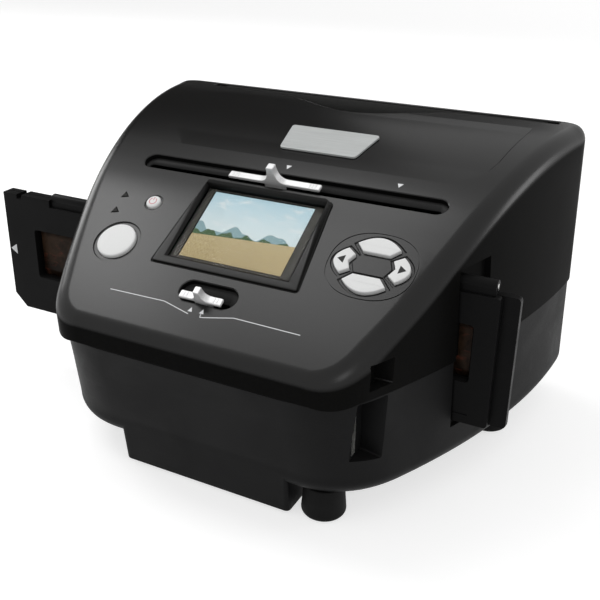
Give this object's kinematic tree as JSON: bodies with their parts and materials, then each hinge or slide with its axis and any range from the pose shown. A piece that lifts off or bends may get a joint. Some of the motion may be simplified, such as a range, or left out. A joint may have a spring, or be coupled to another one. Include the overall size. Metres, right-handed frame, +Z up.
{
  "type": "film negative scanner",
  "caption": "Wedge-shaped desktop film and photo scanner with a small screen, round and segment keys, two mode sliders, and a long film holder through a side slot.",
  "frame": {"origin": "centre of the bounding box on the ground plane, under the feet", "axes": "+X to the scanner's right along the film holder, +Y from the control face to the rear, +Z up"},
  "size_m": [0.2638, 0.178, 0.1381],
  "materials": {
    "satin_black": "satin",
    "matte_black": "matte",
    "bezel_black": "semi-gloss",
    "key_white": "gloss",
    "slider_silver": "silver satin",
    "plate_silver": "satin",
    "board_green": "solder mask",
    "socket_steel": "pressed sheet",
    "screw_steel": "satin",
    "foot_rubber": "matte",
    "clear_glass": "clear",
    "screen_picture": "smooth",
    "diffuser_white": "opal",
    "film_brown": "thin film",
    "lamp_lens": "clear"
  },
  "bodies": {
    "base": {"upper_housing": "satin_black", "lower_housing": "matte_black", "lcd_bezel": "bezel_black", "display_window": "clear_glass", "lcd_panel": "screen_picture", "lcd_bracket": "matte_black", "name_plate": "plate_silver", "key_board": "board_green", "photo_lamp_light": "lamp_lens", "film_lamp_light": "lamp_lens", "backlight_track": "matte_black", "camera_body": "matte_black", "camera_barrel": "matte_black", "camera_glass": "clear_glass", "sensor_board": "board_green", "camera_bracket": "socket_steel", "film_gate": "matte_black", "photo_guide": "matte_black", "photo_lamp_left": "board_green", "photo_lamp_right": "board_green", "main_board": "board_green", "card_socket": "socket_steel", "usb_socket": "socket_steel", "front_left_foot": "foot_rubber", "front_right_foot": "foot_rubber", "rear_left_foot": "foot_rubber", "rear_right_foot": "foot_rubber", "housing_screw_1": "screw_steel", "housing_screw_2": "screw_steel", "housing_screw_3": "screw_steel", "housing_screw_4": "screw_steel", "board_screw_1": "screw_steel", "board_screw_2": "screw_steel", "board_screw_3": "screw_steel", "board_screw_4": "screw_steel"},
    "film_holder": {"holder_front_leaf": "matte_black", "holder_back_leaf": "matte_black", "holder_hinge_pin": "socket_steel", "film_strip": "film_brown"},
    "backlight": {"mode_slider_knob": "slider_silver", "backlight_carrier": "matte_black", "backlight_diffuser": "diffuser_white"},
    "focus": {"focus_slider_knob": "slider_silver", "focus_slide": "matte_black", "close_up_lens": "clear_glass"},
    "scan": {"scan_button": "key_white"},
    "power": {"power_button": "key_white"},
    "mode": {"mode_key": "key_white"},
    "enter": {"enter_key": "key_white"},
    "left": {"left_key": "key_white"},
    "right": {"right_key": "key_white"}
  },
  "joints": [
    {"name": "film_holder_slide", "type": "slide", "parent": "base", "child": "film_holder", "axis": [1, 0, 0], "range_m": [-0.18, 0.22]},
    {"name": "backlight_slide", "type": "slide", "parent": "base", "child": "backlight", "axis": [1, 0, 0], "range_m": [0, 0.054]},
    {"name": "focus_slide", "type": "slide", "parent": "base", "child": "focus", "axis": [1, 0, 0], "range_m": [0, 0.006]},
    {"name": "scan_press", "type": "slide", "parent": "base", "child": "scan", "axis": [0, 0.5188, -0.8549], "range_m": [0, 0.0008], "stiffness_N_per_m": 500},
    {"name": "power_press", "type": "slide", "parent": "base", "child": "power", "axis": [0, 0.5188, -0.8549], "range_m": [0, 0.0008], "stiffness_N_per_m": 500},
    {"name": "mode_press", "type": "slide", "parent": "base", "child": "mode", "axis": [0, 0.5188, -0.8549], "range_m": [0, 0.0008], "stiffness_N_per_m": 500},
    {"name": "enter_press", "type": "slide", "parent": "base", "child": "enter", "axis": [0, 0.5188, -0.8549], "range_m": [0, 0.0008], "stiffness_N_per_m": 500},
    {"name": "left_press", "type": "slide", "parent": "base", "child": "left", "axis": [0, 0.5188, -0.8549], "range_m": [0, 0.0008], "stiffness_N_per_m": 500},
    {"name": "right_press", "type": "slide", "parent": "base", "child": "right", "axis": [0, 0.5188, -0.8549], "range_m": [0, 0.0008], "stiffness_N_per_m": 500}
  ]
}
